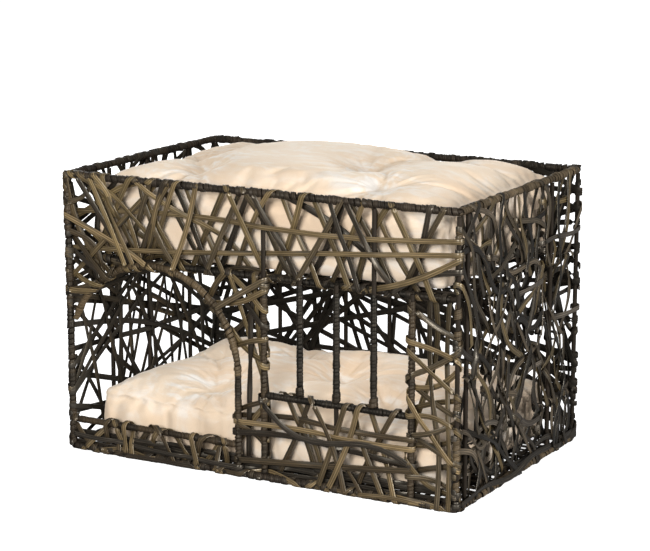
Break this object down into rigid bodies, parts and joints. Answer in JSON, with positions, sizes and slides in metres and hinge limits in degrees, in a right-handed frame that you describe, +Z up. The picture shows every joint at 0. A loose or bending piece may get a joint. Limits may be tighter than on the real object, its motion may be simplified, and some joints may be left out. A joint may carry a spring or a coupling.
{
  "type": "wicker pet bed basket",
  "caption": "Two-level box-shaped wicker pet bed: wire frame woven with flat strips, arched doorway, barred window, open tray on top, loose plush cushions.",
  "frame": {"origin": "middle of the base, at the level of the underside of the bound base rim", "axes": "+X along the front towards the window's end, +Y from the front to the back, +Z up"},
  "size_m": [0.5862, 0.379, 0.4004],
  "materials": {
    "steel_wire": "satin",
    "woven_strip": "satin",
    "dark_woven_strip": "satin",
    "binding_strip": "satin",
    "cushion_plush": "matte"
  },
  "bodies": {
    "woven_frame": {"back_stiffener_1": "steel_wire", "back_stiffener_2": "steel_wire", "back_stiffener_3": "steel_wire", "back_weave": "dark_woven_strip", "base_rim_binding_back": "binding_strip", "base_rim_binding_front": "binding_strip", "base_rim_binding_left": "binding_strip", "base_rim_binding_right": "binding_strip", "base_rim_wire_back": "steel_wire", "base_rim_wire_front": "steel_wire", "base_rim_wire_left": "steel_wire", "base_rim_wire_right": "steel_wire", "corner_post_back_left": "steel_wire", "corner_post_back_right": "steel_wire", "corner_post_front_left": "steel_wire", "corner_post_front_right": "steel_wire", "door_apron_weave": "woven_strip", "door_arch_binding": "binding_strip", "door_arch_wire": "steel_wire", "door_jamb_right": "steel_wire", "door_sill_rail": "steel_wire", "floor_cross_wire_1": "steel_wire", "floor_cross_wire_2": "steel_wire", "floor_weave": "dark_woven_strip", "front_arch_weave": "woven_strip", "front_centre_weave": "woven_strip", "front_lower_weave": "woven_strip", "front_right_weave": "woven_strip", "front_upper_weave": "woven_strip", "left_stiffener_1": "steel_wire", "left_stiffener_2": "steel_wire", "left_stiffener_3": "steel_wire", "left_weave": "woven_strip", "right_stiffener_1": "steel_wire", "right_stiffener_2": "steel_wire", "right_weave": "woven_strip", "shelf_cross_wire_1": "steel_wire", "shelf_cross_wire_2": "steel_wire", "shelf_rail_back": "steel_wire", "shelf_rail_front": "steel_wire", "shelf_rail_left": "steel_wire", "shelf_rail_right": "steel_wire", "shelf_weave": "dark_woven_strip", "top_rim_binding_back": "binding_strip", "top_rim_binding_front": "binding_strip", "top_rim_binding_left": "binding_strip", "top_rim_binding_right": "binding_strip", "top_rim_wire_back": "steel_wire", "top_rim_wire_front": "steel_wire", "top_rim_wire_left": "steel_wire", "top_rim_wire_right": "steel_wire", "window_bar_1": "steel_wire", "window_bar_2": "steel_wire", "window_bar_3": "steel_wire", "window_foot_wire": "steel_wire", "window_post_left": "steel_wire", "window_post_right": "steel_wire", "window_sill_rail": "steel_wire"},
    "upper_cushion": {"upper_cushion": "cushion_plush"},
    "lower_cushion": {"lower_cushion": "cushion_plush"}
  },
  "joints": [
    {"name": "upper_cushion_lift", "type": "slide", "parent": "woven_frame", "child": "upper_cushion", "axis": [0, 0, 1], "range_m": [0, 0.2]},
    {"name": "lower_cushion_lift", "type": "slide", "parent": "woven_frame", "child": "lower_cushion", "axis": [0, 0, 1], "range_m": [0, 0.14]}
  ]
}
